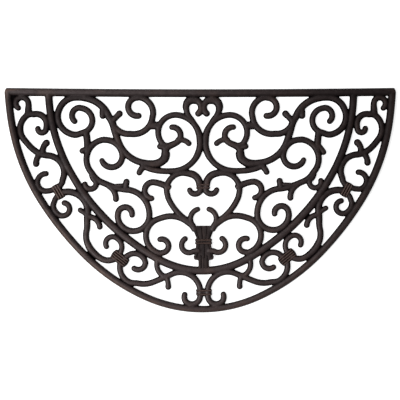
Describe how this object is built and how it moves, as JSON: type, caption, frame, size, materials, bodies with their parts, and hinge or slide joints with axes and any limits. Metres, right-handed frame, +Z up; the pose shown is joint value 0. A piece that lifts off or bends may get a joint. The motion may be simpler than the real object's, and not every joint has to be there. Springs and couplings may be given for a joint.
{
  "type": "half-round doormat",
  "caption": "Half-round openwork rubber doormat: a moulded rim and inner arch filled with mirrored scrolls and hearts.",
  "frame": {"origin": "on the underside, below the centre of the mat's bounding box", "axes": "+X along the straight edge to the right, +Y from the bowed edge toward the straight edge, +Z up from the floor"},
  "size_m": [0.7014, 0.4022, 0.0094],
  "materials": {
    "rubber": "satin moulded rubber, near-black brown with a rubbed bronze-brown tint on rim and collars"
  },
  "bodies": {
    "root": {"mat": "rubber"}
  },
  "joints": []
}
